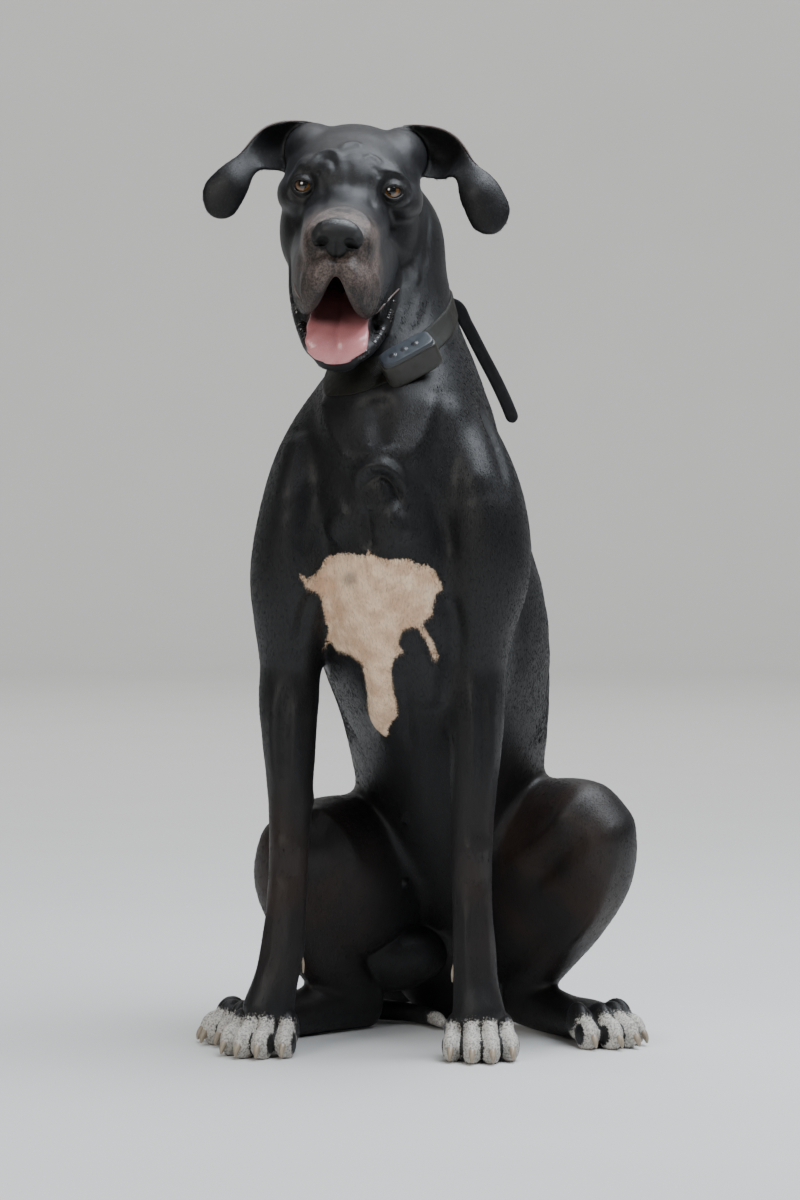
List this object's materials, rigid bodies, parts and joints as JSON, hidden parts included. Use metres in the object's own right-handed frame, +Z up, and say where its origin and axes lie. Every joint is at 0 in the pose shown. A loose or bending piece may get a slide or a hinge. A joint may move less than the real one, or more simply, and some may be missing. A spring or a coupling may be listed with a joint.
{
  "type": "great dane",
  "caption": "Life-size sitting Great Dane, black with a white chest and white toes, mouth open, wearing a strap collar with a small box under the jaw.",
  "frame": {"origin": "floor level under the middle of the whole box", "axes": "+Z up, -Y forward past the chest toward the camera, +X toward the dog's left side"},
  "size_m": [0.5374, 0.6646, 1.096],
  "materials": {
    "coat_black": "short, flat, glossy black hair",
    "coat_white": "short white hair with grey ticking on the toes",
    "nose": "damp, pebbled black leather",
    "tongue": "moist pink",
    "eye": "wet, clear, amber-brown iris",
    "strap": "satin coated strap, dark olive",
    "strap_end": "satin coated strap, black",
    "tracker": "matt moulded case, dark grey green"
  },
  "bodies": {
    "root": {"torso": "coat_black", "neck": "coat_black", "head": "coat_black", "jaw": "coat_black", "ear_left": "coat_black", "ear_right": "coat_black", "eye_left": "eye", "eye_right": "eye", "nose": "nose", "tongue": "tongue", "front_leg_left": "coat_black", "front_leg_right": "coat_black", "front_paw_left": "coat_white", "front_paw_right": "coat_white", "hind_leg_left": "coat_black", "hind_leg_right": "coat_black", "hind_foot_left": "coat_white", "hind_foot_right": "coat_white", "tail": "coat_black", "collar_strap": "strap", "collar_end": "strap_end", "tracker": "tracker"}
  },
  "joints": []
}
